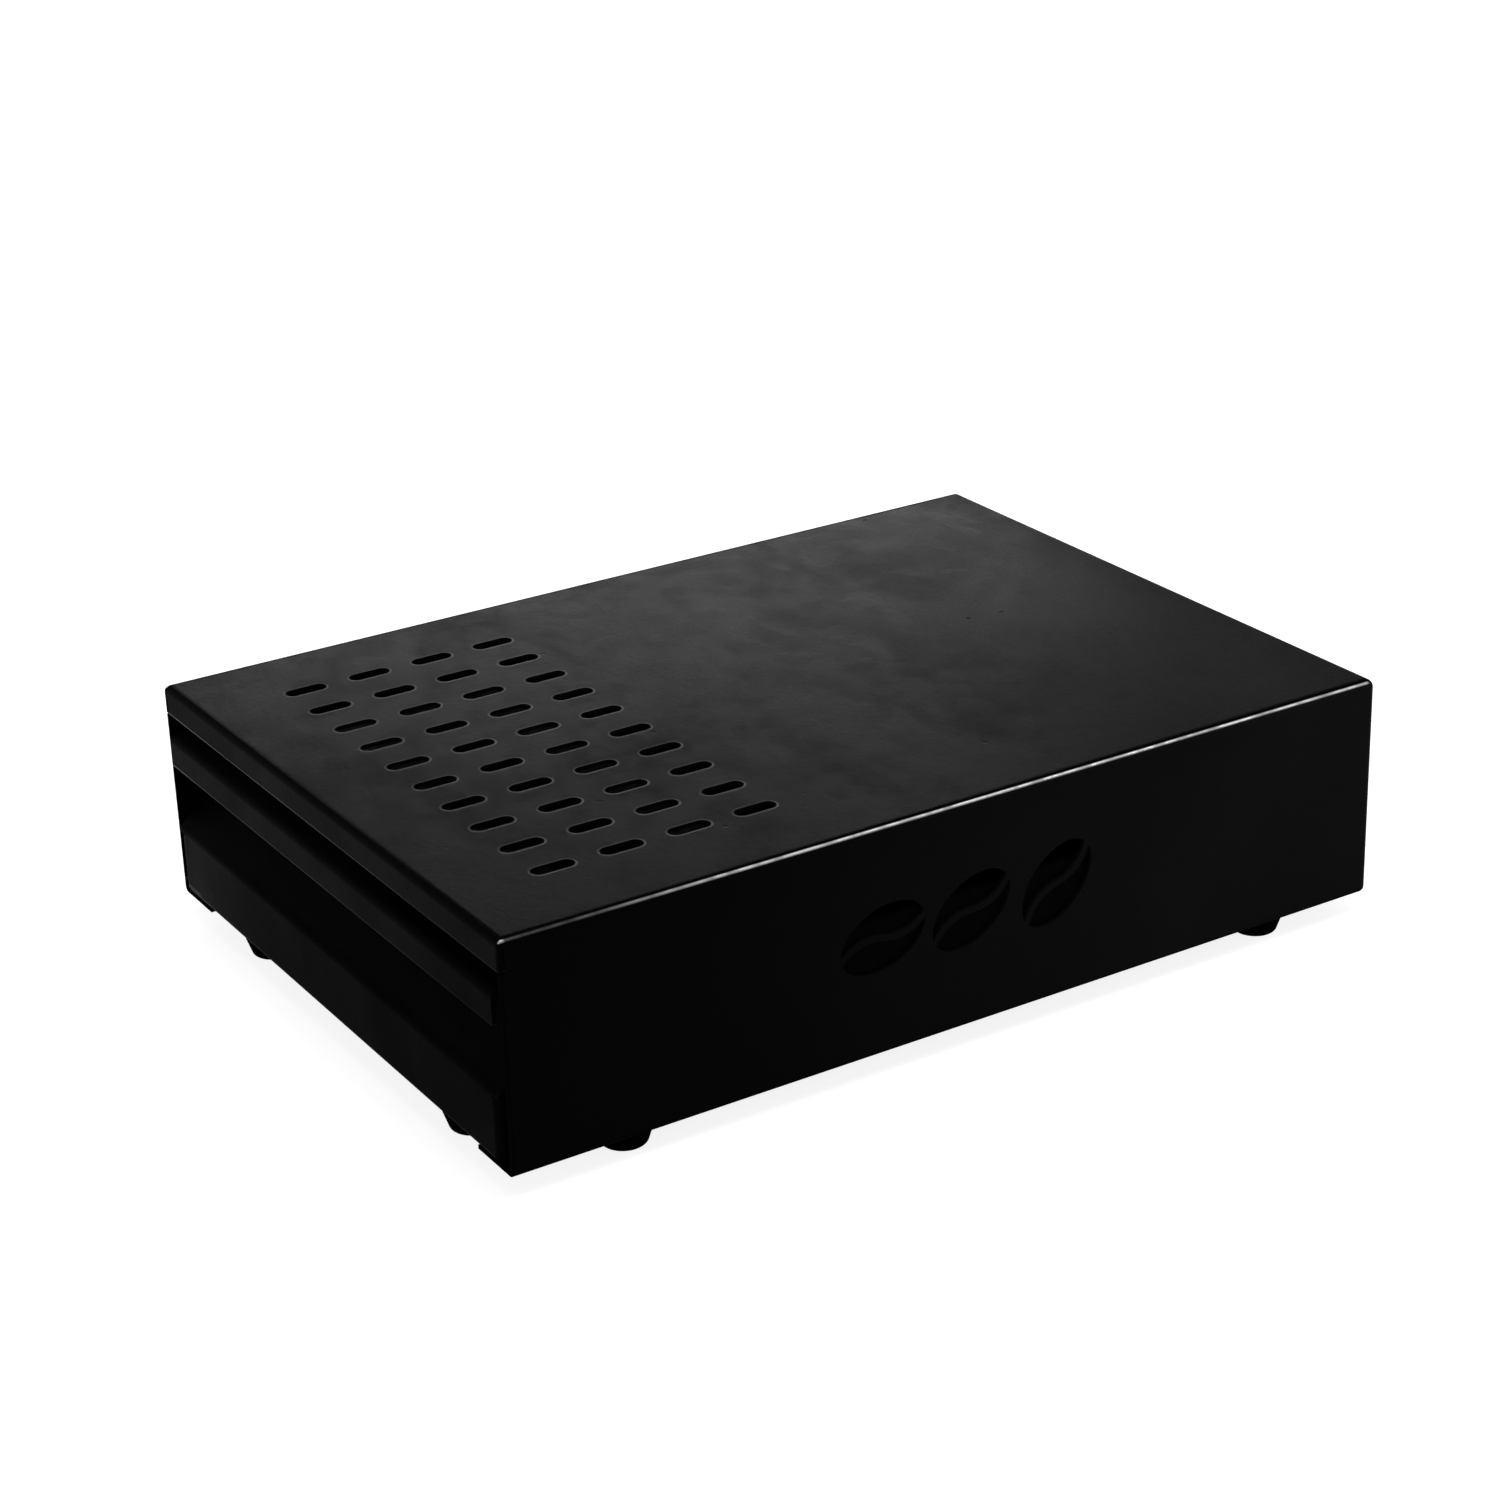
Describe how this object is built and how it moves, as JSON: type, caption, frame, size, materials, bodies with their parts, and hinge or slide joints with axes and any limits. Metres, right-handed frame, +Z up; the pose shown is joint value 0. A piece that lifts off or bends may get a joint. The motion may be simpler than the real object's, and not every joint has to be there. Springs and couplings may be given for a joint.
{
  "type": "knock box drawer",
  "caption": "Low steel knock box to stand under an espresso machine, with drain slots in its top and a drawer on ball-bearing slides that holds a lift-out grounds bin with a padded knock bar.",
  "frame": {"origin": "on the floor, under the middle of the whole object", "axes": "+X to the right across the drawer, +Y from the drawer front to the back, +Z up"},
  "size_m": [0.252, 0.3516, 0.089],
  "materials": {
    "case_paint": "satin black powder coat",
    "tray_paint": "satin black powder coat",
    "black_screws": "black zinc plating",
    "zinc_steel": "bright zinc plating",
    "bin_steel": "satin stainless steel",
    "bar_steel": "turned stainless steel",
    "sleeve_rubber": "matt black rubber",
    "foot_rubber": "matt black rubber",
    "slide_black": "black electro-coated steel",
    "buffer_plastic": "matt black nylon",
    "cage_steel": "rolled steel strip",
    "ball_steel": "polished bearing steel"
  },
  "bodies": {
    "case": {"case_shell": "case_paint", "rear_panel": "case_paint", "front_rail": "case_paint", "rear_panel_screws": "black_screws", "rear_panel_nuts": "zinc_steel", "front_rail_rivets": "black_screws", "foot_front_left": "foot_rubber", "foot_front_right": "foot_rubber", "foot_rear_left": "foot_rubber", "foot_rear_right": "foot_rubber", "foot_left_front": "foot_rubber", "foot_left_rear": "foot_rubber", "foot_right_front": "foot_rubber", "foot_right_rear": "foot_rubber", "foot_screws": "zinc_steel", "foot_washers": "zinc_steel", "foot_nuts": "zinc_steel", "slide_outer_left": "slide_black", "slide_outer_right": "slide_black", "slide_buffer_left": "buffer_plastic", "slide_buffer_right": "buffer_plastic"},
    "drawer": {"drawer_front": "case_paint", "drawer_tray": "tray_paint", "drawer_front_screws": "black_screws", "drawer_front_nuts": "zinc_steel", "slide_inner_left": "slide_black", "slide_inner_right": "slide_black", "slide_screws": "zinc_steel", "slide_nuts": "zinc_steel"},
    "bin": {"grounds_bin": "bin_steel", "knock_bar": "bar_steel", "knock_bar_sleeve": "sleeve_rubber", "knock_bar_screws": "bar_steel", "knock_bar_washers": "bar_steel"},
    "middle_slide_left": {"slide_middle_left": "slide_black"},
    "outer_cage_left": {"ball_cage_outer_left": "cage_steel", "balls_outer_left": "ball_steel"},
    "inner_cage_left": {"ball_cage_inner_left": "cage_steel", "balls_inner_left": "ball_steel"},
    "middle_slide_right": {"slide_middle_right": "slide_black"},
    "outer_cage_right": {"ball_cage_outer_right": "cage_steel", "balls_outer_right": "ball_steel"},
    "inner_cage_right": {"ball_cage_inner_right": "cage_steel", "balls_inner_right": "ball_steel"}
  },
  "joints": [
    {"name": "drawer_slide", "type": "slide", "parent": "case", "child": "drawer", "axis": [0, -1, 0], "range_m": [0, 0.3]},
    {"name": "bin_lift", "type": "slide", "parent": "drawer", "child": "bin", "axis": [0, 0, 1], "range_m": [0, 0.008]},
    {"name": "middle_slide_left_travel", "type": "slide", "parent": "case", "child": "middle_slide_left", "axis": [0, -1, 0], "range_m": [0, 0.15]},
    {"name": "outer_cage_left_travel", "type": "slide", "parent": "case", "child": "outer_cage_left", "axis": [0, -1, 0], "range_m": [0, 0.075]},
    {"name": "inner_cage_left_travel", "type": "slide", "parent": "case", "child": "inner_cage_left", "axis": [0, -1, 0], "range_m": [0, 0.225]},
    {"name": "middle_slide_right_travel", "type": "slide", "parent": "case", "child": "middle_slide_right", "axis": [0, -1, 0], "range_m": [0, 0.15]},
    {"name": "outer_cage_right_travel", "type": "slide", "parent": "case", "child": "outer_cage_right", "axis": [0, -1, 0], "range_m": [0, 0.075]},
    {"name": "inner_cage_right_travel", "type": "slide", "parent": "case", "child": "inner_cage_right", "axis": [0, -1, 0], "range_m": [0, 0.225]}
  ],
  "couplings": [
    {"joint": "middle_slide_left_travel", "follows": "drawer_slide", "ratio": 0.5},
    {"joint": "outer_cage_left_travel", "follows": "drawer_slide", "ratio": 0.25},
    {"joint": "inner_cage_left_travel", "follows": "drawer_slide", "ratio": 0.75},
    {"joint": "middle_slide_right_travel", "follows": "drawer_slide", "ratio": 0.5},
    {"joint": "outer_cage_right_travel", "follows": "drawer_slide", "ratio": 0.25},
    {"joint": "inner_cage_right_travel", "follows": "drawer_slide", "ratio": 0.75}
  ]
}
